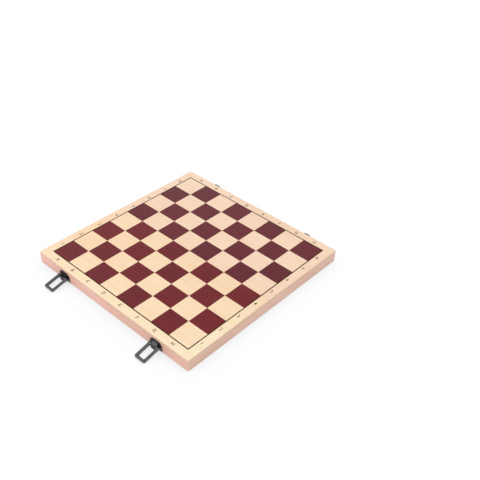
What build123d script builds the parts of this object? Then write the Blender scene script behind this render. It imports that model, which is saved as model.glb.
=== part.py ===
from build123d import *
from math import cos, pi
import os

# Folding chessboard that closes into a shallow case, modelled lying open.
# Millimetres. Origin on the fold axis at mid-width, +X from file A to file H,
# +Y from rank 1 to rank 8, +Z up. The near half carries ranks 1 to 4.

# Playing field
SQUARE = 45.0
FILES = 8
RANKS_PER_HALF = 4
BORDER = 20.0
FIELD = FILES * SQUARE
BOARD = FIELD + 2 * BORDER
HALF_DEPTH = BOARD / 2

# Case shell
HALF_HEIGHT = 25.0
PANEL_THICKNESS = 4.0
WALL_THICKNESS = 9.0
FOLD_CLEARANCE = 0.15
CORNER_RADIUS = 3.0
TOP_ROUND = 1.5
RIM_BEVEL = 0.8
PANEL_UNDERSIDE = HALF_HEIGHT - PANEL_THICKNESS

# Inlaid veneer of the playing surface
INLAY_DEPTH = 0.6
INLAY_JOINT = 0.05
LINE_WIDTH = 2.2

# Butt hinges let into the rims of the two fold walls
HINGE_SPREAD = 125.0
HINGE_LENGTH = 26.0
KNUCKLES = 3
KNUCKLE_GAP = 0.2
KNUCKLE_RADIUS = 1.35
KNUCKLE_BORE = 0.7
HINGE_PIN_RADIUS = 0.65
LEAF_DEPTH = 8.0
LEAF_THICKNESS = 0.8
BARREL_ROOM = 1.7
LEAF_SCREW_SPACING = 16.0
LEAF_SCREW_OFFSET = 5.0
LEAF_SCREW = {"head": 1.6, "sheet": LEAF_THICKNESS, "length": 9.0, "sides": 8}

# Snap latches: base plate with pivot block, window lever, pivot pin
LATCH_SPREAD = 124.0
PLATE_WIDTH = 30.0
PLATE_BOTTOM = 1.8
PLATE_TOP = 19.6
PLATE_THICKNESS = 1.4
PLATE_TOP_RADIUS = 10.0
PLATE_FOOT_RADIUS = 3.0
PLATE_BEVEL = 0.5
BLOCK_WIDTH = 12.6
BLOCK_REACH = 7.0
BLOCK_FOOT = 1.8
BLOCK_HEAD = 15.5
BLOCK_ROUND = 0.8
PIVOT_HEIGHT = 10.0
PIVOT_REACH = 5.0
LEVER_WIDTH = 25.0
LEVER_LENGTH = 34.8
LEVER_THICKNESS = 4.4
RAIL_WIDTH = 5.2
END_BAR = 5.3
LEVER_CORNER = 4.0
LEVER_BEVEL = 1.2
WINDOW_CORNER = 1.5
BOSS_GAP = 0.3
BOSS_LENGTH = 4.5
LATCH_PIN_RADIUS = 1.0
LATCH_PIN_PLAY = 0.05
LEVER_DROOP = 13.0
PLATE_SCREW_SPACING = 19.0
PLATE_SCREW_HEIGHT = 14.6

# Keepers that the levers snap over when the case is closed
KEEPER_FOOT = 0.8
KEEPER_TOP = 18.9
KEEPER_REACH = 6.2
KEEPER_ROUND = 1.2
RAMP_START = 15.5
NOSE_REACH = 7.9
NOSE_LOW = 18.6
NOSE_TOP = 20.0
NOSE_ROOT = 5.9
KEEPER_SCREW_HEIGHTS = (5.4, 12.6)
COUNTERBORE_RADIUS = 2.7
COUNTERBORE_FLOOR = PLATE_THICKNESS

# Sides of the holes that the round hinge and latch pins turn in
BORE_SIDES = 16

# Countersunk wood screws, few-sided. Each head is as deep as the sheet it holds.
WALL_SCREW = {"head": 2.4, "sheet": PLATE_THICKNESS, "length": 8.0, "sides": 12}
SCREW_RIM = 0.1
SCREW_TIP = 0.5
SCREW_PLAY = 0.05

HINGE_CENTRES = {"left": -HINGE_SPREAD, "right": HINGE_SPREAD}
LATCH_CENTRES = {"left": -LATCH_SPREAD, "right": LATCH_SPREAD}
NEAR = -1
FAR = 1


def brick(x_range, y_range, z_range):
    """Box between two corners, given as a range along each axis."""
    ranges = (x_range, y_range, z_range)
    middle = [(min(r) + max(r)) / 2 for r in ranges]
    size = [max(r) - min(r) for r in ranges]
    return Pos(*middle) * Box(*size)


def half_brick(x_range, depth_range, z_range, side):
    """Box in one half, placed by its distance from the fold axis."""
    return brick(x_range, [side * depth for depth in depth_range], z_range)


def rod(radius, start, end, direction):
    """Cylinder of a radius from a start point to an end point along a direction."""
    length = (Vector(*end) - Vector(*start)).length
    place = Plane(origin=start, z_dir=direction)
    return place * Cylinder(radius, length, align=(Align.CENTER, Align.CENTER, Align.MIN))


def bore(radius, start, end):
    """Few-sided hole along X that clears a round pin of a radius."""
    length = end[0] - start[0]
    outline = RegularPolygon(radius, BORE_SIDES, major_radius=False)
    return extrude(Plane(origin=start, z_dir=(1, 0, 0)) * outline, length)


def half_block(side):
    """Solid envelope of one half: rounded outer corners, square fold edge."""
    depth = HALF_DEPTH - FOLD_CLEARANCE
    plan = Pos(0, side * (FOLD_CLEARANCE + depth / 2)) * Rectangle(BOARD, depth)
    outer = [v for v in plan.vertices() if abs(v.Y) > HALF_DEPTH / 2]
    plan = fillet(outer, CORNER_RADIUS)
    block = extrude(Pos(0, 0, FOLD_CLEARANCE) * plan, HALF_HEIGHT - FOLD_CLEARANCE)
    levels = block.edges().group_by(Axis.Z)
    top = [e for e in levels[-1] if abs(e.center().Y) > 2 * FOLD_CLEARANCE]
    block = fillet(top, TOP_ROUND)
    rim = block.edges().group_by(Axis.Z)[0]
    rim = [e for e in rim if abs(e.center().Y) > 2 * FOLD_CLEARANCE]
    return chamfer(rim, RIM_BEVEL)


def dark_squares(side):
    """Dark veneer squares of one half. A1 is dark, so file plus rank is even."""
    squares = []
    for file in range(FILES):
        for row in range(RANKS_PER_HALF):
            rank = RANKS_PER_HALF + row if side == FAR else RANKS_PER_HALF - 1 - row
            if (file + rank) % 2:
                continue
            left = -FIELD / 2 + file * SQUARE
            x_range = (left + INLAY_JOINT, left + SQUARE - INLAY_JOINT)
            start = max(row * SQUARE + INLAY_JOINT, FOLD_CLEARANCE)
            depths = (start, (row + 1) * SQUARE - INLAY_JOINT)
            heights = (HALF_HEIGHT - INLAY_DEPTH, HALF_HEIGHT)
            squares.append(half_brick(x_range, depths, heights, side))
    return squares


def border_line(side):
    """Three dark strips that frame the field on its outer sides."""
    heights = (HALF_HEIGHT - INLAY_DEPTH, HALF_HEIGHT)
    inner = FIELD / 2
    outer = inner + LINE_WIDTH
    cross = (-inner + INLAY_JOINT, inner - INLAY_JOINT)
    strips = [half_brick(cross, (inner, outer), heights, side)]
    for end in (-1, 1):
        x_range = (end * inner, end * outer)
        strips.append(half_brick(x_range, (FOLD_CLEARANCE, outer), heights, side))
    return strips


def wall_wedges(side):
    """Plan shapes that divide the wall ring at its four mitres."""
    far = HALF_DEPTH
    near = FOLD_CLEARANCE
    x_out = BOARD / 2
    x_in = x_out - WALL_THICKNESS
    inner_far = far - WALL_THICKNESS
    inner_near = near + WALL_THICKNESS
    plans = {
        "outer_wall": [(-x_out, far), (x_out, far), (x_in, inner_far), (-x_in, inner_far)],
        "fold_wall": [(-x_out, near), (x_out, near), (x_in, inner_near), (-x_in, inner_near)],
        "left_wall": [(-x_out, near), (-x_out, far), (-x_in, inner_far), (-x_in, inner_near)],
        "right_wall": [(x_out, near), (x_out, far), (x_in, inner_far), (x_in, inner_near)],
    }
    wedges = {}
    for name, points in plans.items():
        outline = Polyline([(x, side * depth) for x, depth in points], close=True)
        wedges[name] = extrude(make_face(outline), PANEL_UNDERSIDE)
    return wedges


def screw_head(head, sheet, length, sides):
    """Countersunk head with its top at the origin. Its seat has the same shape."""
    blank = extrude(RegularPolygon(head, sides), -sheet)
    return chamfer(blank.edges().group_by(Axis.Z)[0], sheet - SCREW_RIM)


def screw_shank(head, sheet, length, sides, play=0):
    """Shank from the underside of the head to its tip. With play it is a pilot hole."""
    neck = head - (sheet - SCREW_RIM) / cos(pi / sides)
    outline = Pos(0, 0, -sheet) * RegularPolygon(neck + play, sides)
    return extrude(outline, sheet - length - play)


def screw(kind):
    """Countersunk wood screw, tip down, top of the head at the origin."""
    shank = screw_shank(**kind)
    tip = shank.edges().group_by(Axis.Z)[0]
    return screw_head(**kind) + chamfer(tip, SCREW_TIP)


def hinge_screw_places(side):
    """Head positions of the two screws in each leaf, tips pointing up."""
    for centre in HINGE_CENTRES.values():
        for end in (-1, 1):
            x = centre + end * LEAF_SCREW_SPACING / 2
            spot = Pos(x, side * LEAF_SCREW_OFFSET, FOLD_CLEARANCE)
            yield spot * Rot(180, 0, 0)


def outward(x, reach, height, side):
    """Place on an outer wall, with local +Z pointing straight out of the wall."""
    return Pos(x, side * (HALF_DEPTH + reach), height) * Rot(-90 * side, 0, 0)


def plate_screw_places():
    """Head positions of the two screws in each base plate."""
    for centre in LATCH_CENTRES.values():
        for end in (-1, 1):
            x = centre + end * PLATE_SCREW_SPACING / 2
            yield outward(x, PLATE_THICKNESS, PLATE_SCREW_HEIGHT, NEAR)


def keeper_screw_places():
    """Head positions of the two screws in each keeper."""
    for centre in LATCH_CENTRES.values():
        for height in KEEPER_SCREW_HEIGHTS:
            yield outward(centre, COUNTERBORE_FLOOR, height, FAR)


def hinge_leaf(centre, side):
    """One leaf: plate let into the rim, with alternate knuckles rolled round the pin."""
    pitch = HINGE_LENGTH / KNUCKLES
    start = centre - HINGE_LENGTH / 2
    x_range = (start, start + HINGE_LENGTH)
    heights = (FOLD_CLEARANCE, FOLD_CLEARANCE + LEAF_THICKNESS)
    leaf = half_brick(x_range, (0, LEAF_DEPTH), heights, side)
    for index in range(KNUCKLES):
        low = start + index * pitch + (KNUCKLE_GAP / 2 if index else 0)
        high = start + (index + 1) * pitch - (KNUCKLE_GAP / 2 if index < KNUCKLES - 1 else 0)
        own = (index % 2 == 0) == (side == NEAR)
        if own:
            leaf += rod(KNUCKLE_RADIUS, (low, 0, 0), (high, 0, 0), (1, 0, 0))
        else:
            room = KNUCKLE_RADIUS + 0.25
            low -= KNUCKLE_GAP if index else 1
            high += KNUCKLE_GAP if index < KNUCKLES - 1 else 1
            leaf -= rod(room, (low, 0, 0), (high, 0, 0), (1, 0, 0))
    leaf -= bore(KNUCKLE_BORE, (start - 1, 0, 0), (start + HINGE_LENGTH + 1, 0, 0))
    for place in hinge_screw_places(side):
        leaf -= place * screw_head(**LEAF_SCREW)
    return leaf


def hinge_pin(centre):
    """Straight pin through all knuckles of one hinge."""
    reach = HINGE_LENGTH / 2
    return rod(HINGE_PIN_RADIUS, (centre - reach, 0, 0), (centre + reach, 0, 0), (1, 0, 0))


def fold_wall_cuts(side):
    """Leaf mortises, barrel grooves and pilot holes in one fold wall."""
    cuts = []
    for centre in HINGE_CENTRES.values():
        x_range = (centre - HINGE_LENGTH / 2, centre + HINGE_LENGTH / 2)
        heights = (0, FOLD_CLEARANCE + LEAF_THICKNESS)
        cuts.append(half_brick(x_range, (0, LEAF_DEPTH), heights, side))
        ends = (x_range[0] - 0.3, 0, 0), (x_range[1] + 0.3, 0, 0)
        cuts.append(rod(BARREL_ROOM, *ends, (1, 0, 0)))
    pilot = screw_shank(**LEAF_SCREW, play=SCREW_PLAY)
    cuts += [place * pilot for place in hinge_screw_places(side)]
    return cuts


def outer_wall_cuts(side):
    """Pilot holes for the latch or keeper screws in one outer wall."""
    places = plate_screw_places() if side == NEAR else keeper_screw_places()
    pilot = screw_shank(**WALL_SCREW, play=SCREW_PLAY)
    return [place * pilot for place in places]


def pivot_axis(centre, half_length, radius):
    """Rod on a latch's pivot axis."""
    y = -(HALF_DEPTH + PIVOT_REACH)
    ends = (centre - half_length, y, PIVOT_HEIGHT), (centre + half_length, y, PIVOT_HEIGHT)
    return rod(radius, *ends, (1, 0, 0))


def latch_base(centre):
    """Base plate and block, moved onto the near outer wall."""
    height = PLATE_TOP - PLATE_BOTTOM
    plan = Pos(0, PLATE_BOTTOM + height / 2) * Rectangle(PLATE_WIDTH, height)
    plan = fillet(plan.vertices().group_by(Axis.Y)[-1], PLATE_TOP_RADIUS)
    plan = fillet(plan.vertices().group_by(Axis.Y)[0], PLATE_FOOT_RADIUS)
    wall = Plane(origin=(centre, -HALF_DEPTH, 0), x_dir=(1, 0, 0), z_dir=(0, -1, 0))
    plate = extrude(wall * plan, PLATE_THICKNESS)
    plate = chamfer(plate.faces().sort_by(Axis.Y)[0].edges(), PLATE_BEVEL)
    hood = Polyline(
        (0, BLOCK_FOOT), (BLOCK_REACH, BLOCK_FOOT), (BLOCK_REACH, PIVOT_HEIGHT + 1),
        (PLATE_THICKNESS, BLOCK_HEAD), (0, BLOCK_HEAD), close=True,
    )
    profile_plane = Plane(origin=(centre, -HALF_DEPTH, 0), x_dir=(0, -1, 0), z_dir=(-1, 0, 0))
    block = extrude(profile_plane * make_face(hood), BLOCK_WIDTH / 2, both=True)
    front = -(HALF_DEPTH + BLOCK_REACH)
    ridges = [e for e in block.edges().filter_by(Axis.X) if abs(e.center().Y - front) < 0.1]
    block = fillet(ridges, BLOCK_ROUND)
    base = plate + block
    base -= pivot_axis(centre, BLOCK_WIDTH, LATCH_PIN_RADIUS)
    for place in plate_screw_places():
        base -= place * screw_head(**WALL_SCREW)
    return base


def latch_lever(centre):
    """Window lever: two rails on pivot bosses, joined by a bevelled end bar."""
    half_width = LEVER_WIDTH / 2
    window = half_width - RAIL_WIDTH
    plan = Pos(0, -LEVER_LENGTH / 2) * Rectangle(LEVER_WIDTH, LEVER_LENGTH)
    plan = fillet(plan.vertices().group_by(Axis.Y)[0], LEVER_CORNER)
    lever = extrude(Pos(0, 0, -LEVER_THICKNESS / 2) * plan, LEVER_THICKNESS)
    edge_levels = lever.edges().group_by(Axis.Z)
    outer_top = [e for e in edge_levels[-1] if e.center().Y < -0.1]
    lever = chamfer(outer_top, LEVER_BEVEL)
    bottom = [e for e in lever.edges().group_by(Axis.Z)[0] if e.center().Y < -0.1]
    lever = chamfer(bottom, LEVER_BEVEL / 2)
    opening_length = LEVER_LENGTH - END_BAR + 5
    opening = Pos(0, 5 - opening_length / 2) * Rectangle(2 * window, opening_length)
    opening = fillet(opening.vertices().group_by(Axis.Y)[0], WINDOW_CORNER)
    lever -= extrude(Pos(0, 0, -LEVER_THICKNESS) * opening, 2 * LEVER_THICKNESS)
    inner_end = END_BAR - LEVER_LENGTH
    seat = [
        e for e in lever.edges().filter_by(Axis.X)
        if abs(e.center().Y - inner_end) < 0.1 and e.center().Z > 0
    ]
    lever = chamfer(seat, LEVER_BEVEL)
    boss_start = BLOCK_WIDTH / 2 + BOSS_GAP
    for end in (-1, 1):
        inner = (end * boss_start, 0, 0)
        outer = (end * half_width, 0, 0)
        boss = rod(LEVER_THICKNESS / 2, inner, outer, (end, 0, 0))
        boss += brick(
            (end * boss_start, end * half_width),
            (-BOSS_LENGTH, 0),
            (-LEVER_THICKNESS / 2, LEVER_THICKNESS / 2 - LEVER_BEVEL),
        )
        lever += boss
    bore_ends = (-half_width - 1, 0, 0), (half_width + 1, 0, 0)
    lever -= bore(LATCH_PIN_RADIUS + LATCH_PIN_PLAY, *bore_ends)
    pivot = Pos(centre, -(HALF_DEPTH + PIVOT_REACH), PIVOT_HEIGHT)
    return pivot * Rot(LEVER_DROOP, 0, 0) * lever


def latch_pin(centre):
    """Pin through the block and both lever bosses."""
    return pivot_axis(centre, LEVER_WIDTH / 2 - 0.2, LATCH_PIN_RADIUS)


def keeper(centre):
    """Raised catch on the far outer wall, with a snap nose along its top edge."""
    shoulder = KEEPER_REACH + 1
    profile = Polyline(
        (0, KEEPER_FOOT), (KEEPER_REACH, KEEPER_FOOT), (KEEPER_REACH, RAMP_START),
        (NOSE_REACH, NOSE_LOW), (NOSE_REACH, NOSE_TOP - 0.7), (shoulder, NOSE_TOP),
        (NOSE_ROOT, KEEPER_TOP), (0, KEEPER_TOP), close=True,
    )
    side_plane = Plane(origin=(centre, HALF_DEPTH, 0), x_dir=(0, 1, 0), z_dir=(1, 0, 0))
    catch = extrude(side_plane * make_face(profile), BLOCK_WIDTH / 2, both=True)
    front = HALF_DEPTH + KEEPER_REACH
    foot = [
        e for e in catch.edges().filter_by(Axis.X)
        if abs(e.center().Y - front) < 0.1 and e.center().Z < KEEPER_TOP / 2
    ]
    catch = fillet(foot, KEEPER_ROUND)
    tip = [e for e in catch.edges().filter_by(Axis.X) if e.center().Y > HALF_DEPTH + shoulder - 0.1]
    catch = fillet(tip, 0.3)
    for height in KEEPER_SCREW_HEIGHTS:
        mouth = (centre, HALF_DEPTH + COUNTERBORE_FLOOR, height)
        out = (centre, HALF_DEPTH + NOSE_REACH + 1, height)
        catch -= rod(COUNTERBORE_RADIUS, mouth, out, (0, 1, 0))
    for place in keeper_screw_places():
        catch -= place * screw_head(**WALL_SCREW)
    return catch


def half_nodes(name, side):
    """Panel, inlays and four mitred walls of one half."""
    block = half_block(side)
    squares = dark_squares(side)
    line = border_line(side)
    everything = (-BOARD, BOARD)
    panel = block & half_brick(everything, (0, BOARD), (PANEL_UNDERSIDE, HALF_HEIGHT + 1), side)
    for inlay in squares + line:
        panel -= inlay
    nodes = {
        f"{name}_playing_panel": panel,
        f"{name}_dark_squares": Compound(squares),
        f"{name}_border_line": Compound(line),
    }
    cuts = {"fold_wall": fold_wall_cuts(side), "outer_wall": outer_wall_cuts(side)}
    for wall_name, wedge in wall_wedges(side).items():
        wall = block & wedge
        for cut in cuts.get(wall_name, []):
            wall -= cut
        nodes[f"{name}_{wall_name}"] = wall
    return nodes


def hinge_nodes():
    """Leaves and pins of both hinges, and the screws of each half."""
    nodes = {}
    for hand, centre in HINGE_CENTRES.items():
        nodes[f"{hand}_hinge_near_leaf"] = hinge_leaf(centre, NEAR)
        nodes[f"{hand}_hinge_far_leaf"] = hinge_leaf(centre, FAR)
        nodes[f"{hand}_hinge_pin"] = hinge_pin(centre)
    leaf_screw = screw(LEAF_SCREW)
    for name, side in (("near", NEAR), ("far", FAR)):
        places = hinge_screw_places(side)
        nodes[f"{name}_hinge_screws"] = Compound([place * leaf_screw for place in places])
    return nodes


def latch_nodes():
    """Base plates, levers, pins and keepers of both latches, and their screws."""
    nodes = {}
    for hand, centre in LATCH_CENTRES.items():
        nodes[f"{hand}_latch_base"] = latch_base(centre)
        nodes[f"{hand}_latch_lever"] = latch_lever(centre)
        nodes[f"{hand}_latch_pin"] = latch_pin(centre)
        nodes[f"{hand}_keeper"] = keeper(centre)
    wall_screw = screw(WALL_SCREW)
    nodes["latch_base_screws"] = Compound([p * wall_screw for p in plate_screw_places()])
    nodes["keeper_screws"] = Compound([p * wall_screw for p in keeper_screw_places()])
    return nodes


os.makedirs("parts", exist_ok=True)
parts = {**half_nodes("near", NEAR), **half_nodes("far", FAR), **hinge_nodes(), **latch_nodes()}
for node, solid in parts.items():
    export_step(solid, f"parts/{node}.step")
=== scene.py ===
"""Looks of the folding chessboard case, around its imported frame.

Metres. +X runs from file A to file H, +Y from rank 1 to rank 8, +Z up.
"""
import math

import bmesh
import bpy
from mathutils import Matrix, Vector


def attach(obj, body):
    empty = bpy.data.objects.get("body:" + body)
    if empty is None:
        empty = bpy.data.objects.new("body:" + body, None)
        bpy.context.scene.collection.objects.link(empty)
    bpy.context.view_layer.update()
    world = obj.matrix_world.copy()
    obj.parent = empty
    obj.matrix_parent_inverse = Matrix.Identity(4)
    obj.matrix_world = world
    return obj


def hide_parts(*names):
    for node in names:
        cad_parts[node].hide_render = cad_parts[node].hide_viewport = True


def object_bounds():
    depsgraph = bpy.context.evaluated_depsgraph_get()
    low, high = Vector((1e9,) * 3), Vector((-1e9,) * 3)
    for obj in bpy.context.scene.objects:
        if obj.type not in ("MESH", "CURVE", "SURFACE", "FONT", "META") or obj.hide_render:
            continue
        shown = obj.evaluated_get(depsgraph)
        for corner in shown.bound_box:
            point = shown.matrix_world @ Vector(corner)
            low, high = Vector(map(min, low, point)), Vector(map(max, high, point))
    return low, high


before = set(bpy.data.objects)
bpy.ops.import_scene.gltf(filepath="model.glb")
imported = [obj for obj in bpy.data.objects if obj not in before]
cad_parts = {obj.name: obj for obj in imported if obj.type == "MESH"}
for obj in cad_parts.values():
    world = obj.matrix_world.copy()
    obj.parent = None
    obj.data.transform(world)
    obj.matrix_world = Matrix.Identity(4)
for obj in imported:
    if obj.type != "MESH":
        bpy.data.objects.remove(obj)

packed_box = [list(corner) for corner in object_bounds()]

MM = 0.001

# Playing field and case
SQUARE = 45 * MM
FILES = 8
RANKS_PER_HALF = 4
FIELD_EDGE = 180 * MM
# Painted shade on the rounded rim of the top, fading in between these distances from the middle
RIM_SHADE_START = 199.3 * MM
RIM_SHADE_END = 199.9 * MM
TOP = 25 * MM
PANEL_UNDERSIDE = 21 * MM
INLAY_DEPTH = 0.6 * MM

# The pale surface lies a little under the leaves, and each leaf is a little smaller than its square
SURFACE_DROP = 0.02 * MM
JOINT = 0.02 * MM

# Coordinates printed on the border; the height of a capital is CAP_SHARE of its font size
LETTERS = "ABCDEFGH"
LETTER_HEIGHT = 6.8 * MM
DIGIT_HEIGHT = 7.6 * MM
LETTER_SPREAD = 0.12 * MM
DIGIT_SPREAD = 0.03 * MM
CAP_SHARE = 0.7
MARK_RELIEF = 0.06 * MM
MARK_STEPS = 6
MARK_PITCH = 44.3 * MM
MARK_SHIFT = -0.8 * MM
NEAR_LETTER_LINE = -190.4 * MM
FAR_LETTER_LINE = 189.1 * MM
LEFT_DIGIT_LINE = -187.8 * MM
RIGHT_DIGIT_LINE = 187.6 * MM

# Hardware
HINGE_SPREAD = 125 * MM
LEAF_SCREW_STEP = 8 * MM
LEAF_SCREW_LINE = 5 * MM
LEAF_FACE = 0.15 * MM
LATCH_SPREAD = 124 * MM
PLATE_FACE = 201.4 * MM
PLATE_SCREW_STEP = 9.5 * MM
PLATE_SCREW_HEIGHT = 14.6 * MM
KEEPER_SCREW_HEIGHTS = (5.4 * MM, 12.6 * MM)

# Softened edges of the metal parts
LEAF_ROUND = 0.08 * MM
HINGE_PIN_ROUND = 0.12 * MM
BASE_ROUND = 0.45 * MM
LEVER_ROUND = 1.6 * MM
LATCH_PIN_ROUND = 0.15 * MM
KEEPER_ROUND = 0.3 * MM

# Shape of a wood screw, in shares of the sizes that its tree takes
RIM_SHARE = 0.12
RIM_OVERLAP = 1.1
CORE_SHARE = 0.72
TIP_SHARE = 0.12
TIP_LENGTH_SHARE = 1.8
NECK_SHARE = 0.98
POINT_OVERLAP = 1.06
THREAD_START_SHARE = 0.45
THREAD_FOOT_SHARE = 0.6
RIDGE_SHARE = 0.2
RIDGE_SUNK_SHARE = 0.16
HEAD_SIDES = 32
SHANK_SIDES = 20
TURN_STEPS = 20
RIDGE_SIDES = 4

# Random draws: the tone of each leaf and the turn of each screw
VENEER_SEED = 5
LEAF_SCREW_SEED = 2
WALL_SCREW_SEED = 7

# How far the floor looks for the case above it, and for what hangs below it
SHADOW_REACH = 70 * MM
HANGING_REACH = 300 * MM

# Mesh work
MERGE_DISTANCE = 0.001 * MM
FLAT_ANGLE = math.radians(0.8)
BEVEL_ANGLE = math.radians(24)
SHARP_ANGLE = math.radians(35)
SCREW_SHARP_ANGLE = math.radians(30)

ALONG_X = 0
ALONG_Y = 1


def four_parts(colour):
    """A colour of three parts with its cover added; anything else as it is."""
    if isinstance(colour, tuple) and len(colour) == 3:
        return (*colour, 1.0)
    return colour


def shaded(colour, share):
    """The colour with each part cut to a share of itself."""
    return tuple(share * part for part in colour)


class Tree:
    """A node tree that is built up in order: an input takes a constant or another node's socket."""

    def __init__(self, tree):
        self.tree = tree

    def node(self, kind, inputs=None, **settings):
        made = self.tree.nodes.new(kind)
        for key, value in settings.items():
            setattr(made, key, value)
        for key, value in (inputs or {}).items():
            self.feed(made.inputs[key], value)
        return made

    def feed(self, socket, value):
        if isinstance(value, bpy.types.NodeSocket):
            self.tree.links.new(value, socket)
        else:
            socket.default_value = value

    def calc(self, operation, *values):
        inputs = dict(enumerate(values))
        return self.node("ShaderNodeMath", inputs, operation=operation).outputs[0]


class Finish(Tree):
    """One procedural material on the Principled shader, read from Object coordinates."""

    def __init__(self, name, **sockets):
        self.material = bpy.data.materials.new(name)
        self.material.use_nodes = True
        super().__init__(self.material.node_tree)
        self.shader = self.tree.nodes["Principled BSDF"]
        self.place = self.node("ShaderNodeTexCoord").outputs["Object"]
        split = self.node("ShaderNodeSeparateXYZ", {0: self.place})
        self.x, self.y, self.z = split.outputs
        for label, value in sockets.items():
            self.put(label.replace("_", " ").title().replace("Ior", "IOR"), value)

    def put(self, label, value):
        """Sets a socket of the shader; a colour is given by its three parts."""
        self.feed(self.shader.inputs[label], four_parts(value))

    def fade(self, value, start, end):
        """0 at start, 1 at end, smooth between."""
        inputs = {"Value": value, "From Min": start, "From Max": end}
        return self.node("ShaderNodeMapRange", inputs, interpolation_type="SMOOTHSTEP").outputs[0]

    def mask(self, value, start, end, share):
        """A fade that ends at a share of the whole."""
        return self.calc("MULTIPLY", self.fade(value, start, end), share)

    def blend(self, amount, first, second, mode="MIX"):
        """Colour between two, each a socket or three parts."""
        made = self.node("ShaderNodeMix", data_type="RGBA", blend_type=mode)
        self.feed(made.inputs[0], amount)
        for place, colour in ((6, first), (7, second)):
            self.feed(made.inputs[place], four_parts(colour))
        return made.outputs[2]

    def grain(self, size, detail=3.0, origin=(0.0, 0.0, 0.0), place=None, roughness=0.55):
        """Noise whose single mark measures size, a length along each axis."""
        scale = [1.0 / part for part in size]
        inputs = {"Vector": place or self.place, "Scale": scale, "Location": origin}
        mapped = self.node("ShaderNodeMapping", inputs).outputs[0]
        inputs = {"Vector": mapped, "Scale": 1.0, "Detail": detail, "Roughness": roughness}
        return self.node("ShaderNodeTexNoise", inputs).outputs[0]

    def emboss(self, height, depth, strength=1.0):
        """Fine relief of the surface, as deep as depth."""
        inputs = {"Height": height, "Distance": depth, "Strength": strength}
        self.put("Normal", self.node("ShaderNodeBump", inputs).outputs[0])


def mark_size(along, length, width):
    """Size of a grain mark that runs along one axis."""
    size = [width] * 3
    size[along] = length
    return size


def beech(name, pale, deep, streak, along, edge=None, underside=None, foot=None, front=None):
    """Lacquered beech: broad year bands, fine fibres and the short dark flecks of its rays.

    Edge is the painted shade on the rounded rim, underside that of the bare wood below, foot that of the
    painted shade along the lower edge where it meets the floor, and front the tint towards the near right
    corner.
    """
    finish = Finish(name, roughness=0.4, specular_ior_level=0.35, coat_weight=0.15, coat_roughness=0.25)
    bands = finish.grain(mark_size(along, 260 * MM, 9 * MM), detail=4.0)
    streaks = finish.grain(mark_size(along, 150 * MM, 3.2 * MM), detail=2.0, origin=(3.1, 1.7, 5.3))
    fibres = finish.grain(mark_size(along, 14 * MM, 0.35 * MM), detail=3.0, origin=(0.4, 8.2, 2.6))
    flecks = finish.grain(mark_size(along, 2.6 * MM, 0.28 * MM), detail=1.0, origin=(6.5, 2.2, 7.9))
    clouds = finish.grain(mark_size(along, 130 * MM, 55 * MM), detail=2.0, origin=(7.7, 3.3, 1.2))
    bands = finish.calc("MULTIPLY_ADD", finish.calc("SUBTRACT", clouds, 0.5), 0.8, bands)
    colour = finish.blend(finish.fade(bands, 0.36, 0.66), pale, deep)
    colour = finish.blend(finish.mask(streaks, 0.5, 0.72, 0.6), colour, streak)
    colour = finish.blend(finish.mask(fibres, 0.52, 0.8, 0.35), colour, shaded(deep, 0.86))
    fleck_mask = finish.mask(flecks, 0.66, 0.76, 0.5)
    colour = finish.blend(fleck_mask, colour, shaded(deep, 0.55))
    across = finish.calc("MAXIMUM", finish.calc("ABSOLUTE", finish.x), finish.calc("ABSOLUTE", finish.y))
    if front:
        border = finish.fade(across, FIELD_EDGE, FIELD_EDGE + 3 * MM)
        cover = finish.calc("MULTIPLY_ADD", border, 0.65, 0.35)
        toward = finish.calc("SUBTRACT", finish.calc("MULTIPLY", finish.x, 0.4), finish.y)
        tinted = finish.calc("MULTIPLY", cover, finish.fade(toward, 20 * MM, 240 * MM))
        colour = finish.blend(tinted, colour, front, "MULTIPLY")
    if edge:
        # Painted shade on the rounded rim of the top, its inner edge ragged along the fibres
        painted_edge = finish.calc("ADD", across, finish.calc("MULTIPLY", fibres, 0.4 * MM))
        colour = finish.blend(finish.fade(painted_edge, RIM_SHADE_START, RIM_SHADE_END), colour, edge)
    if foot:
        # Painted shade along the lowest millimetre or so of the wall, where it meets the floor
        foot_shade_height = finish.calc("MULTIPLY_ADD", fibres, -0.8 * MM, finish.z)
        colour = finish.blend(finish.fade(foot_shade_height, 1.4 * MM, 0.3 * MM), colour, foot)
    roughness = finish.calc("MULTIPLY_ADD", fibres, 0.12, 0.33)
    if underside:
        below = finish.fade(finish.z, PANEL_UNDERSIDE + 0.6 * MM, PANEL_UNDERSIDE + 0.2 * MM)
        bare = finish.blend(finish.fade(fibres, 0.4, 0.7), underside, shaded(underside, 0.82))
        colour = finish.blend(below, colour, bare)
        roughness = finish.calc("MULTIPLY_ADD", below, 0.25, roughness)
    finish.put("Base Color", colour)
    finish.put("Roughness", roughness)
    relief = finish.calc("SUBTRACT", fibres, finish.calc("MULTIPLY", fleck_mask, 0.5))
    finish.emboss(relief, 0.03 * MM, 0.5)
    return finish.material


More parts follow.
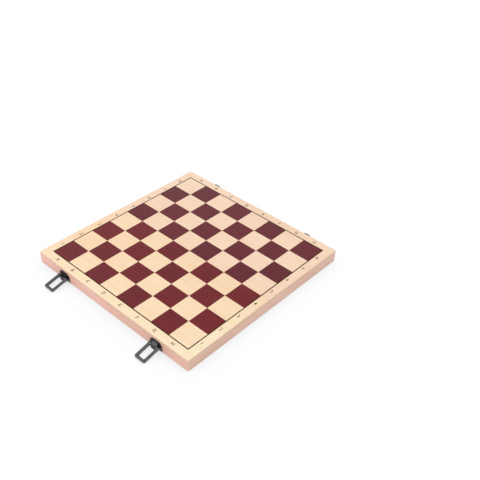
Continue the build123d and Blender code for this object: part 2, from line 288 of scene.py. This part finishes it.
def mahogany(name, bright, dull):
    """Wine-red stained veneer: each leaf has its own tone, with fine dark pores."""
    finish = Finish(name, specular_ior_level=0.3, coat_weight=0.06, coat_roughness=0.2)
    leaf = finish.node("ShaderNodeAttribute", attribute_name="leaf").outputs["Fac"]
    shift = finish.node("ShaderNodeCombineXYZ", {0: leaf, 1: leaf, 2: leaf}).outputs[0]
    place = finish.node("ShaderNodeVectorMath", {0: finish.place, 1: shift}, operation="ADD").outputs[0]
    figure = finish.grain(mark_size(ALONG_X, 60 * MM, 5 * MM), detail=4.0, place=place)
    pores = finish.grain(mark_size(ALONG_X, 4.5 * MM, 0.3 * MM), detail=2.0, place=place,
                         origin=(4.4, 1.3, 0.2))
    tone = finish.blend(leaf, bright, dull)
    tone = finish.blend(finish.mask(figure, 0.35, 0.7, 0.5), tone, (0.12, 0.017, 0.022))
    pore_mask = finish.fade(pores, 0.58, 0.7)
    tone = finish.blend(finish.calc("MULTIPLY", pore_mask, 0.4), tone, (0.05, 0.007, 0.008))
    finish.put("Base Color", tone)
    finish.put("Roughness", finish.calc("MULTIPLY_ADD", pores, 0.12, 0.24))
    finish.emboss(finish.calc("SUBTRACT", 1.0, pore_mask), 0.02 * MM, 0.4)
    return finish.material


def walnut():
    """Dark strip of the line round the field, its grain along its own length."""
    finish = Finish("walnut_line", specular_ior_level=0.12)
    lengthwise = finish.grain(mark_size(ALONG_X, 18 * MM, 0.4 * MM), detail=3.0)
    crosswise = finish.grain(mark_size(ALONG_Y, 18 * MM, 0.4 * MM), detail=3.0)
    side = finish.fade(finish.calc("ABSOLUTE", finish.x), FIELD_EDGE, FIELD_EDGE + 0.1 * MM)
    fibres = finish.node("ShaderNodeMix", {0: side, 2: lengthwise, 3: crosswise}).outputs[0]
    tone = finish.blend(finish.fade(fibres, 0.35, 0.7), (0.062, 0.016, 0.005), (0.032, 0.008, 0.003))
    finish.put("Base Color", tone)
    finish.put("Roughness", finish.calc("MULTIPLY_ADD", fibres, 0.2, 0.3))
    finish.emboss(fibres, 0.02 * MM, 0.4)
    return finish.material


def black_lacquer(name, shine, gloss):
    """Black on stamped steel, grey on its edges: partly lacquer scuffed off, partly a painted highlight.

    Shine is that of the lacquer, gloss that of its clear top.
    """
    finish = Finish(name, specular_ior_level=shine, ior=1.7, coat_weight=gloss, coat_roughness=0.06,
                    coat_ior=1.6)
    peel = finish.grain((1.1 * MM,) * 3, detail=2.0)
    scuff = finish.grain((0.5 * MM, 0.5 * MM, 2.5 * MM), detail=4.0, origin=(2.0, 9.0, 4.0))
    rounded = finish.node("ShaderNodeBevel", {"Radius": 0.45 * MM}, samples=4).outputs[0]
    flat = finish.node("ShaderNodeNewGeometry").outputs["Normal"]
    leaning = finish.node("ShaderNodeVectorMath", {0: rounded, 1: flat}, operation="DOT_PRODUCT")
    edge = finish.fade(leaning.outputs["Value"], 0.995, 0.93)
    # Grey on the edges, broken up by scuffs: partly bare steel where the lacquer is scuffed, partly a painted
    # highlight
    painted_edge = finish.calc("MULTIPLY", edge, finish.fade(scuff, 0.5, 0.64))
    finish.put("Base Color", finish.blend(painted_edge, (0.006, 0.007, 0.008), (0.13, 0.125, 0.12)))
    finish.put("Roughness", finish.calc("MULTIPLY_ADD", scuff, 0.14, 0.16))
    finish.emboss(peel, 0.02 * MM, 0.25)
    return finish.material


def black_oxide():
    """Blackened screw steel, brighter where the driver has bitten."""
    finish = Finish("black_oxide", metallic=0.85, specular_ior_level=0.5)
    specks = finish.grain((0.4 * MM,) * 3, detail=4.0)
    tone = finish.blend(finish.fade(specks, 0.5, 0.68), (0.045, 0.045, 0.05), (0.14, 0.135, 0.13))
    finish.put("Base Color", tone)
    finish.put("Roughness", finish.calc("MULTIPLY_ADD", specks, 0.3, 0.28))
    finish.emboss(specks, 0.01 * MM, 0.4)
    return finish.material


def brushed_brass():
    """Rolled hinge brass, brushed along the fold, slightly tarnished."""
    finish = Finish("brushed_brass", metallic=1.0)
    brushing = finish.grain((9 * MM, 0.09 * MM, 0.09 * MM), detail=3.0)
    tarnish = finish.grain((7 * MM,) * 3, detail=5.0, origin=(1.0, 2.0, 3.0))
    tone = finish.blend(finish.fade(brushing, 0.3, 0.7), (0.83, 0.62, 0.3), (0.68, 0.48, 0.2))
    tone = finish.blend(finish.mask(tarnish, 0.5, 0.75, 0.5), tone, (0.42, 0.27, 0.1))
    finish.put("Base Color", tone)
    finish.put("Roughness", finish.calc("MULTIPLY_ADD", tarnish, 0.25, 0.2))
    finish.emboss(brushing, 0.012 * MM, 0.5)
    return finish.material


def drawn_steel():
    """Bright wire of the hinge pins, with the faint marks of the drawing die."""
    finish = Finish("drawn_steel", metallic=1.0)
    marks = finish.grain((12 * MM, 0.08 * MM, 0.08 * MM), detail=3.0)
    tone = finish.blend(finish.fade(marks, 0.3, 0.7), (0.6, 0.6, 0.61), (0.42, 0.42, 0.44))
    finish.put("Base Color", tone)
    finish.put("Roughness", finish.calc("MULTIPLY_ADD", marks, 0.15, 0.24))
    finish.emboss(marks, 0.008 * MM, 0.4)
    return finish.material


def printing_ink():
    """Thin brown-black ink that lets the wood's fibres show through."""
    finish = Finish("printing_ink", specular_ior_level=0.25)
    cover = finish.grain((1.6 * MM, 0.25 * MM, 0.25 * MM), detail=3.0)
    tone = finish.blend(finish.fade(cover, 0.45, 0.75), (0.045, 0.028, 0.02), (0.1, 0.062, 0.04))
    finish.put("Base Color", tone)
    finish.put("Roughness", finish.calc("MULTIPLY_ADD", cover, 0.2, 0.42))
    finish.emboss(cover, 0.01 * MM, 0.3)
    return finish.material


def floor_sheet():
    """White sheet. The camera sees only the soft shadow on it, so a half that hangs below still shows."""
    finish = Finish("floor_sheet")
    tree = finish.tree
    tree.nodes.remove(finish.shader)
    behind = finish.node("ShaderNodeNewGeometry").outputs["Backfacing"]
    kind = "ShaderNodeAmbientOcclusion"
    above = finish.node(kind, {"Distance": SHADOW_REACH}, samples=16).outputs["AO"]
    below = finish.node(kind, {"Distance": HANGING_REACH}, inside=True, samples=16).outputs["AO"]
    open_sky = finish.calc("MAXIMUM", above, behind)
    dimmed = finish.calc("POWER", finish.calc("SUBTRACT", 1.0, open_sky), 1.7)
    shade = finish.blend(finish.calc("MULTIPLY", dimmed, 0.5), (1.0, 1.0, 1.0), (0.3, 0.29, 0.31))
    seen = finish.node("ShaderNodeBsdfTransparent", {"Color": shade}).outputs[0]
    sheet = finish.node("ShaderNodeBsdfDiffuse", {"Color": (0.8, 0.8, 0.8, 1.0)}).outputs[0]
    clear = finish.node("ShaderNodeBsdfTransparent").outputs[0]
    hangs = finish.fade(below, 0.998, 0.97)
    covered = finish.fade(above, 0.3, 0.15)
    gone = finish.calc("MAXIMUM", finish.calc("MAXIMUM", hangs, covered), behind)
    lit = finish.node("ShaderNodeMixShader", {0: gone, 1: sheet, 2: clear}).outputs[0]
    camera_ray = finish.node("ShaderNodeLightPath").outputs["Is Camera Ray"]
    mixed = finish.node("ShaderNodeMixShader", {0: camera_ray, 1: lit, 2: seen}).outputs[0]
    finish.feed(tree.nodes["Material Output"].inputs["Surface"], mixed)
    return finish.material


def place_piece(name, mesh, body, slot, *nodes):
    """Links a finished mesh as one piece of a body."""
    piece = bpy.data.objects.new(name, mesh)
    bpy.context.scene.collection.objects.link(piece)
    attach(piece, body)
    if nodes:
        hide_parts(*nodes)
    return piece


def evaluated_mesh(holder):
    """Plain mesh of an object with its modifiers applied; the object goes."""
    bpy.context.scene.collection.objects.link(holder)
    graph = bpy.context.evaluated_depsgraph_get()
    graph.update()
    mesh = bpy.data.meshes.new_from_object(holder.evaluated_get(graph))
    bpy.data.objects.remove(holder)
    return mesh


def ease(mesh, angle=SHARP_ANGLE):
    """Smooth shading inside each face group, sharp over the angle."""
    mesh.polygons.foreach_set("use_smooth", [True] * len(mesh.polygons))
    mesh.set_sharp_from_angle(angle=angle)


def true_flats(mesh):
    """Shading in which the large faces stay flat and only the narrow ones round them off."""
    ease(mesh)
    holder = bpy.data.objects.new("holder", mesh)
    leaning = holder.modifiers.new("true_flats", "WEIGHTED_NORMAL")
    leaning.mode = "FACE_AREA"
    leaning.weight = 100
    leaning.keep_sharp = True
    return evaluated_mesh(holder)


def merged_copy(node, name):
    """The node's mesh with its doubles merged and its flat faces joined."""
    work = bmesh.new()
    work.from_mesh(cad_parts[node].data)
    bmesh.ops.remove_doubles(work, verts=work.verts, dist=MERGE_DISTANCE)
    bmesh.ops.dissolve_limit(work, angle_limit=FLAT_ANGLE, verts=work.verts, edges=work.edges)
    mesh = bpy.data.meshes.new(name)
    work.to_mesh(mesh)
    work.free()
    return mesh


def without_slivers(mesh):
    """Merges what cutting and rounding leave closer together than a thousandth of a millimetre."""
    work = bmesh.new()
    work.from_mesh(mesh)
    bmesh.ops.remove_doubles(work, verts=work.verts, dist=MERGE_DISTANCE)
    bmesh.ops.dissolve_degenerate(work, dist=MERGE_DISTANCE, edges=work.edges)
    work.to_mesh(mesh)
    work.free()
    return mesh


def finish_node(node, body, slot, material, softness=0.0, rings=2, drop=0.0):
    """Stands a merged copy with softened edges in for a rigid node of the same shape."""
    name = node + "_finished"
    mesh = merged_copy(node, name)
    if drop:
        for vertex in mesh.vertices:
            vertex.co.z = min(vertex.co.z, TOP - drop)
    if softness:
        holder = bpy.data.objects.new("holder", mesh)
        bevel = holder.modifiers.new("soft_edges", "BEVEL")
        bevel.width = softness
        bevel.segments = rings
        bevel.limit_method = "ANGLE"
        bevel.angle_limit = BEVEL_ANGLE
        bevel.use_clamp_overlap = True
        mesh = without_slivers(evaluated_mesh(holder))
    mesh = true_flats(mesh)
    mesh.name = name
    mesh.materials.clear()
    mesh.materials.append(material)
    return place_piece(name, mesh, body, slot, node)


def geometry_tree(name, sizes):
    """A new geometry tree with named inputs; returns the tree, its inputs and its output socket."""
    group = bpy.data.node_groups.new(name, "GeometryNodeTree")
    group.interface.new_socket("Geometry", in_out="OUTPUT", socket_type="NodeSocketGeometry")
    group.interface.new_socket("Places", in_out="INPUT", socket_type="NodeSocketGeometry")
    for label, kind in sizes:
        group.interface.new_socket(label, in_out="INPUT", socket_type="NodeSocket" + kind)
    tree = Tree(group)
    entry = tree.node("NodeGroupInput").outputs
    leave = tree.node("NodeGroupOutput").inputs[0]
    return tree, entry, leave


def close_tree(tree, leave, instances, material):
    """Ends a tree: its instances become plain mesh, with the material on them."""
    solid = tree.node("GeometryNodeRealizeInstances", {"Geometry": instances}).outputs[0]
    inputs = {"Geometry": solid, "Material": material}
    tree.feed(leave, tree.node("GeometryNodeSetMaterial", inputs).outputs[0])
    return tree.tree


def run_tree(group, name, places, **inputs):
    """Runs a geometry tree over a mesh of loose points and returns the plain mesh it makes."""
    points = bpy.data.meshes.new(name + "_places")
    points.from_pydata(places, [], [])
    holder = bpy.data.objects.new(name + "_places", points)
    modifier = holder.modifiers.new("tree", "NODES")
    modifier.node_group = group
    for label, value in inputs.items():
        socket = group.interface.items_tree[label.replace("_", " ").title()]
        modifier[socket.identifier] = value
    mesh = without_slivers(evaluated_mesh(holder))
    mesh.name = name
    return mesh


def screw_tree():
    """Countersunk cross-head wood screws: one at each place, heads towards Facing, turned at random."""
    lengths = ("Head Radius", "Head Depth", "Shank Radius", "Length", "Recess Reach", "Recess Width",
               "Recess Depth", "Pitch")
    sizes = [(label, "Float") for label in lengths]
    sizes += [("Facing", "Vector"), ("Seed", "Int"), ("Material", "Material")]
    tree, entry, leave = geometry_tree("countersunk_screws", sizes)

    def move(piece, z, turn=(0.0, 0.0, 0.0)):
        offset = tree.node("ShaderNodeCombineXYZ", {2: z}).outputs[0]
        inputs = {"Geometry": piece, "Translation": offset, "Rotation": turn}
        return tree.node("GeometryNodeTransform", inputs).outputs[0]

    def share(whole, part):
        return tree.calc("MULTIPLY", whole, part)

    def cone_piece(sides, top, bottom, depth):
        inputs = {"Vertices": sides, "Radius Top": top, "Radius Bottom": bottom, "Depth": depth}
        return tree.node("GeometryNodeMeshCone", inputs).outputs[0]

    # Head: a cone with a thin rim on it, which reach into each other so that they join cleanly
    rim = share(entry["Head Depth"], RIM_SHARE)
    cone_depth = tree.calc("SUBTRACT", entry["Head Depth"], rim)
    cone = cone_piece(HEAD_SIDES, entry["Head Radius"], entry["Shank Radius"], cone_depth)
    cone = move(cone, share(entry["Head Depth"], -1.0))
    thick = share(rim, RIM_OVERLAP)
    inputs = {"Vertices": HEAD_SIDES, "Radius": entry["Head Radius"], "Depth": thick}
    disc = tree.node("GeometryNodeMeshCylinder", inputs).outputs[0]
    disc = move(disc, share(thick, -0.5))

    # Two crossed bars cut the recess
    cutters = []
    inputs = {0: share(entry["Recess Reach"], 2.0), 1: entry["Recess Width"],
              2: share(entry["Recess Depth"], 2.0)}
    bar_size = tree.node("ShaderNodeCombineXYZ", inputs).outputs[0]
    for turn in (0.0, math.pi / 2):
        bar = tree.node("GeometryNodeMeshCube", {"Size": bar_size}).outputs[0]
        cutters.append(move(bar, 0.0, (0.0, 0.0, turn)))

    # Shank and point, which reach into each other too
    shank_length = tree.calc("SUBTRACT", entry["Length"], entry["Head Depth"])
    core = share(entry["Shank Radius"], CORE_SHARE)
    tip = share(entry["Shank Radius"], TIP_SHARE)
    tip_length = share(entry["Shank Radius"], TIP_LENGTH_SHARE)
    body_length = tree.calc("SUBTRACT", shank_length, tip_length)
    shank = cone_piece(SHANK_SIDES, core, core, body_length)
    end = share(entry["Length"], -1.0)
    shank = move(shank, tree.calc("ADD", end, tip_length))
    point = cone_piece(SHANK_SIDES, share(core, NECK_SHARE), tip, share(tip_length, POINT_OVERLAP))
    point = move(point, end)

    # Thread: a small ridge wound round the shank
    turns = tree.calc("DIVIDE", body_length, entry["Pitch"])
    thread_start = share(entry["Shank Radius"], THREAD_START_SHARE)
    thread_run = tree.calc("SUBTRACT", entry["Shank Radius"], share(entry["Pitch"], RIDGE_SUNK_SHARE))
    inputs = {"Resolution": TURN_STEPS, "Rotations": turns, "Start Radius": thread_start,
              "End Radius": thread_run, "Height": body_length}
    helix = tree.node("GeometryNodeCurveSpiral", inputs).outputs[0]
    inputs = {"Resolution": RIDGE_SIDES, "Radius": share(entry["Pitch"], RIDGE_SHARE)}
    ridge = tree.node("GeometryNodeCurvePrimitiveCircle", inputs).outputs[0]
    inputs = {"Curve": helix, "Profile Curve": ridge, "Fill Caps": True}
    thread = tree.node("GeometryNodeCurveToMesh", inputs).outputs[0]
    thread = move(thread, tree.calc("ADD", end, share(tip_length, THREAD_FOOT_SHARE)))

    # All of it joined, then cut
    whole = tree.node("GeometryNodeMeshBoolean", operation="UNION", solver="EXACT")
    for part in (cone, disc, shank, point, thread):
        tree.feed(whole.inputs["Mesh 2"], part)
    screw = tree.node("GeometryNodeMeshBoolean", operation="DIFFERENCE", solver="EXACT")
    tree.feed(screw.inputs["Mesh 1"], whole.outputs[0])
    for part in cutters:
        tree.feed(screw.inputs["Mesh 2"], part)

    # One at each place
    spin = tree.node("FunctionNodeRandomValue", {"Seed": entry["Seed"]}, data_type="FLOAT")
    tree.feed(spin.inputs[3], math.pi)
    about = tree.node("ShaderNodeCombineXYZ", {2: spin.outputs[1]}).outputs[0]
    inputs = {"Points": entry["Places"], "Instance": screw.outputs[0], "Rotation": entry["Facing"]}
    first = tree.node("GeometryNodeInstanceOnPoints", inputs).outputs[0]
    inputs = {"Instances": first, "Rotation": about, "Local Space": True}
    turned = tree.node("GeometryNodeRotateInstances", inputs).outputs[0]
    return close_tree(tree, leave, turned, entry["Material"])


def veneer_tree():
    """Dark leaves of one half: a tile on every second square, each with its own number for the finish."""
    sizes = (("Files", "Int"), ("Ranks", "Int"), ("Square", "Float"), ("Joint", "Float"),
             ("Thickness", "Float"), ("Centre", "Vector"), ("Seed", "Int"), ("Material", "Material"))
    tree, entry, leave = geometry_tree("veneer_leaves", sizes)

    def span(count):
        return tree.calc("MULTIPLY", tree.calc("SUBTRACT", count, 1.0), entry["Square"])

    inputs = {"Size X": span(entry["Files"]), "Size Y": span(entry["Ranks"]),
              "Vertices X": entry["Files"], "Vertices Y": entry["Ranks"]}
    grid = tree.node("GeometryNodeMeshGrid", inputs).outputs[0]
    laid = tree.node("GeometryNodeTransform", {"Geometry": grid, "Translation": entry["Centre"]}).outputs[0]
    where = tree.node("ShaderNodeSeparateXYZ", {0: tree.node("GeometryNodeInputPosition").outputs[0]}).outputs
    diagonal = tree.calc("ROUND", tree.calc("DIVIDE", tree.calc("ADD", where[0], where[1]), entry["Square"]))
    odd = tree.calc("FLOORED_MODULO", diagonal, 2.0)
    side = tree.calc("SUBTRACT", entry["Square"], entry["Joint"])
    inputs = {0: side, 1: side, 2: entry["Thickness"]}
    tile_size = tree.node("ShaderNodeCombineXYZ", inputs).outputs[0]
    tile = tree.node("GeometryNodeMeshCube", {"Size": tile_size}).outputs[0]
    inputs = {"Points": laid, "Selection": odd, "Instance": tile}
    laid = tree.node("GeometryNodeInstanceOnPoints", inputs).outputs[0]
    number = tree.node("FunctionNodeRandomValue", {"Seed": entry["Seed"]}, data_type="FLOAT").outputs[1]
    marked = tree.node("GeometryNodeStoreNamedAttribute", {"Geometry": laid, "Name": "leaf"},
                       domain="INSTANCE", data_type="FLOAT")
    tree.feed(marked.inputs["Value"], number)
    return close_tree(tree, leave, marked.outputs[0], entry["Material"])


def printed_marks(name, marks, body, material):
    """Coordinates of one half: each mark is its text and the middle of the place it is printed at."""
    work = bmesh.new()
    for text, x, y in marks:
        curve = bpy.data.curves.new("mark", "FONT")
        curve.body = text
        curve.size = (DIGIT_HEIGHT if text.isdigit() else LETTER_HEIGHT) / CAP_SHARE
        curve.align_x = "CENTER"
        curve.align_y = "CENTER"
        curve.offset = DIGIT_SPREAD if text.isdigit() else LETTER_SPREAD
        curve.extrude = MARK_RELIEF
        curve.resolution_u = MARK_STEPS
        mesh = evaluated_mesh(bpy.data.objects.new("mark", curve))
        mesh.transform(Matrix.Translation((x, y, TOP - MARK_RELIEF)))
        work.from_mesh(mesh)
    mesh = bpy.data.meshes.new(name)
    work.to_mesh(mesh)
    work.free()
    mesh = without_slivers(mesh)
    mesh.materials.append(material)
    return place_piece(name, mesh, body, "walnut_line")


def soft_lamp(name, place, size, watts):
    """Square soft lamp that points at the middle of the board."""
    lamp = bpy.data.lights.new(name, "AREA")
    lamp.size = size
    lamp.energy = watts
    holder = bpy.data.objects.new(name, lamp)
    holder.location = place
    holder.rotation_euler = (-Vector(place)).to_track_quat("-Z", "Y").to_euler()
    bpy.context.scene.collection.objects.link(holder)


# Camera at the photograph's viewing angle: lens in mm, place in m, turn in degrees
SENSOR_WIDTH = 36.0
FOCAL_LENGTH = 53.567
CAMERA_PLACE = (0.767425, -0.741769, 0.880709)
CAMERA_TURN = (52.178, -1.912, 42.337)
lens = bpy.data.cameras.new("camera")
lens.sensor_width = SENSOR_WIDTH
lens.lens = FOCAL_LENGTH
camera = bpy.data.objects.new("camera", lens)
camera.location = CAMERA_PLACE
camera.rotation_euler = [math.radians(angle) for angle in CAMERA_TURN]
bpy.context.scene.collection.objects.link(camera)
bpy.context.scene.camera = camera
bpy.context.scene.view_settings.view_transform = "Standard"

# White room. What shines sees a dark ceiling over bright walls; the camera sees plain white.
WALL_STRENGTH = 1.15
CEILING_STRENGTH = 0.1
CEILING_START = 0.36
CEILING_END = 0.54
CEILING_TILT = -0.15
ROOM_STRENGTH = 0.8
SEEN_EXTRA = 0.2
room = bpy.data.worlds.new("white_room")
room.use_nodes = True
bpy.context.scene.world = room
air = Tree(room.node_tree)
path = air.node("ShaderNodeLightPath").outputs
seen = air.calc("MAXIMUM", path["Is Camera Ray"], path["Is Transmission Ray"])
toward = air.node("ShaderNodeTexCoord").outputs["Generated"]
depth, rise = air.node("ShaderNodeSeparateXYZ", {0: toward}).outputs[1:]
tilted = air.calc("MULTIPLY_ADD", depth, CEILING_TILT, rise)
inputs = {"Value": tilted, "From Min": CEILING_START, "From Max": CEILING_END,
          "To Min": WALL_STRENGTH, "To Max": CEILING_STRENGTH}
ceiling = air.node("ShaderNodeMapRange", inputs, interpolation_type="SMOOTHSTEP").outputs[0]
plain = air.calc("MULTIPLY_ADD", seen, SEEN_EXTRA, ROOM_STRENGTH)
background = room.node_tree.nodes["Background"]
background.inputs["Color"].default_value = (1.0, 1.0, 1.0, 1.0)
strength = air.node("ShaderNodeMix", {0: path["Is Glossy Ray"], 2: plain, 3: ceiling}).outputs[0]
air.feed(background.inputs["Strength"], strength)

# Soft lamps: name, place, side and watts
LAMPS = (
    ("front_lamp", (-0.35, -1.1, 1.1), 0.8, 4.5),
    ("high_lamp", (-0.85, -0.1, 1.35), 1.3, 2.6),
    ("side_lamp", (1.2, 0.3, 0.9), 0.8, 1.5),
)
for lamp in LAMPS:
    soft_lamp(*lamp)

# Floor under the lowest point of the hinges
FLOOR_REACH = 4.0
floor_level = packed_box[0][2]
sheet = bpy.data.meshes.new("floor")
corners = [(x * FLOOR_REACH, y * FLOOR_REACH, floor_level) for x, y in ((-1, -1), (1, -1), (1, 1), (-1, 1))]
sheet.from_pydata(corners, [], [(0, 1, 2, 3)])
sheet.materials.append(floor_sheet())
floor = bpy.data.objects.new("floor", sheet)
bpy.context.scene.collection.objects.link(floor)

# Finishes
CREAM = (0.985, 0.725, 0.485)
# PINK_CREAM is the near cream made pinker: a painted sheen that stands in for the bright room's reflection on
# the far half
PINK_CREAM = (0.975, 0.725, 0.535)
# TAN is the painted shade of the panels' rounded rim
TAN = (0.8, 0.52, 0.39)
# Painted shade along the foot of the walls
FOOT_SHADE = (0.55, 0.4, 0.33)
BARE = (0.78, 0.58, 0.39)
PALER = (1.0, 1.15, 1.2)
panel_wood = {
    "near": beech("beech_panel_near", CREAM, (0.965, 0.685, 0.44), (0.95, 0.655, 0.405), ALONG_X,
                  edge=TAN, underside=BARE, front=PALER),
    # Far panel: pinker tones throughout, a painted sheen of the bright room
    "far": beech("beech_panel_far", PINK_CREAM, (0.955, 0.685, 0.49), (0.94, 0.65, 0.455), ALONG_X,
                 edge=TAN, underside=BARE),
}
long_wall = beech("beech_wall_long", (0.93, 0.54, 0.455), (0.84, 0.5, 0.385), (0.72, 0.47, 0.34),
                  ALONG_X, foot=FOOT_SHADE)
side_wall = beech("beech_wall_side", (0.88, 0.57, 0.45), (0.8, 0.53, 0.4), (0.73, 0.49, 0.36),
                  ALONG_Y, foot=FOOT_SHADE)
# The far leaves are bluer and duller than the near ones: a painted reflection of the bright room, which the
# far squares mirror at a lower angle
dark_wood = {
    "near": mahogany("mahogany_near", (0.205, 0.021, 0.025), (0.17, 0.019, 0.025)),
    "far": mahogany("mahogany_far", (0.165, 0.023, 0.032), (0.14, 0.022, 0.031)),
}
line_wood = walnut()
lever_lacquer = black_lacquer("lever_lacquer", 0.9, 1.0)
base_lacquer = black_lacquer("base_lacquer", 0.35, 0.3)
oxide = black_oxide()
brass = brushed_brass()
steel = drawn_steel()
ink = printing_ink()

# Case of each half
for half in ("near", "far"):
    body = half + "_half"
    finish_node(half + "_playing_panel", body, "beech_panel", panel_wood[half], drop=SURFACE_DROP)
    for wall, wood in (("outer", long_wall), ("fold", long_wall), ("left", side_wall), ("right", side_wall)):
        finish_node(half + "_" + wall + "_wall", body, "beech_wall", wood)
    finish_node(half + "_border_line", body, "walnut_line", line_wood)

# Dark squares
leaves = veneer_tree()
for half, side in (("near", -1), ("far", 1)):
    name = half + "_veneer_leaves"
    middle = (0.0, side * RANKS_PER_HALF * SQUARE / 2, TOP - INLAY_DEPTH / 2)
    mesh = run_tree(leaves, name, [(0.0, 0.0, 0.0)], files=FILES, ranks=RANKS_PER_HALF, square=SQUARE,
                    joint=JOINT, thickness=INLAY_DEPTH, centre=middle, seed=VENEER_SEED + side,
                    material=dark_wood[half])
    place_piece(name, mesh, half + "_half", "mahogany_veneer", half + "_dark_squares")

# Coordinates
for half, side, letter_line in (("near", -1, NEAR_LETTER_LINE), ("far", 1, FAR_LETTER_LINE)):
    middle_file = (FILES - 1) / 2
    marks = [(LETTERS[i], (i - middle_file) * MARK_PITCH + MARK_SHIFT, letter_line) for i in range(FILES)]
    for row in range(RANKS_PER_HALF):
        rank = row + 1 if side < 0 else row + 1 + RANKS_PER_HALF
        y = (rank - RANKS_PER_HALF - 0.5) * MARK_PITCH + MARK_SHIFT
        marks.append((str(rank), LEFT_DIGIT_LINE, y))
        marks.append((str(rank), RIGHT_DIGIT_LINE, y))
    printed_marks(half + "_coordinates", marks, half + "_half", ink)

# Hinges
for hand in ("left", "right"):
    finish_node(hand + "_hinge_near_leaf", "near_half", "hinge_brass", brass, LEAF_ROUND)
    finish_node(hand + "_hinge_far_leaf", "far_half", "hinge_brass", brass, LEAF_ROUND)
    finish_node(hand + "_hinge_pin", "near_half", "pin_steel", steel, HINGE_PIN_ROUND)

# Latches and keepers
for hand in ("left", "right"):
    finish_node(hand + "_latch_base", "near_half", "black_metal", base_lacquer, BASE_ROUND, 3)
    finish_node(hand + "_latch_lever", hand + "_lever", "black_metal", lever_lacquer, LEVER_ROUND, 5)
    finish_node(hand + "_latch_pin", "near_half", "black_metal", base_lacquer, LATCH_PIN_ROUND)
    finish_node(hand + "_keeper", "far_half", "black_metal", base_lacquer, KEEPER_ROUND, 3)

# Screws
screws = screw_tree()
LEAF_SCREW = {"head_radius": 1.6 * MM, "head_depth": 0.8 * MM, "shank_radius": 0.8 * MM,
              "length": 9 * MM, "recess_reach": 0.8 * MM, "recess_width": 0.36 * MM,
              "recess_depth": 0.5 * MM, "pitch": 0.9 * MM}
WALL_SCREW = {"head_radius": 2.4 * MM, "head_depth": 1.4 * MM, "shank_radius": 1.0 * MM,
              "length": 8 * MM, "recess_reach": 1.25 * MM, "recess_width": 0.55 * MM,
              "recess_depth": 0.8 * MM, "pitch": 1.1 * MM}
FACE_DOWN = (math.pi, 0.0, 0.0)
FACE_FRONT = (math.pi / 2, 0.0, 0.0)
FACE_BACK = (-math.pi / 2, 0.0, 0.0)
for half, side in (("near", -1), ("far", 1)):
    places = [(hinge + step, side * LEAF_SCREW_LINE, LEAF_FACE)
              for hinge in (-HINGE_SPREAD, HINGE_SPREAD) for step in (-LEAF_SCREW_STEP, LEAF_SCREW_STEP)]
    name = half + "_leaf_screws"
    mesh = run_tree(screws, name, places, facing=FACE_DOWN, seed=LEAF_SCREW_SEED + side, material=brass,
                    **LEAF_SCREW)
    ease(mesh, SCREW_SHARP_ANGLE)
    place_piece(name, mesh, half + "_half", "hinge_brass", half + "_hinge_screws")
for name, node, body, facing, places in (
    ("base_plate_screws", "latch_base_screws", "near_half", FACE_FRONT,
     [(latch + step, -PLATE_FACE, PLATE_SCREW_HEIGHT)
      for latch in (-LATCH_SPREAD, LATCH_SPREAD) for step in (-PLATE_SCREW_STEP, PLATE_SCREW_STEP)]),
    ("keeper_wood_screws", "keeper_screws", "far_half", FACE_BACK,
     [(latch, PLATE_FACE, height)
      for latch in (-LATCH_SPREAD, LATCH_SPREAD) for height in KEEPER_SCREW_HEIGHTS]),
):
    mesh = run_tree(screws, name, places, facing=facing, seed=WALL_SCREW_SEED, material=oxide, **WALL_SCREW)
    ease(mesh, SCREW_SHARP_ANGLE)
    place_piece(name, mesh, body, "black_screw", node)
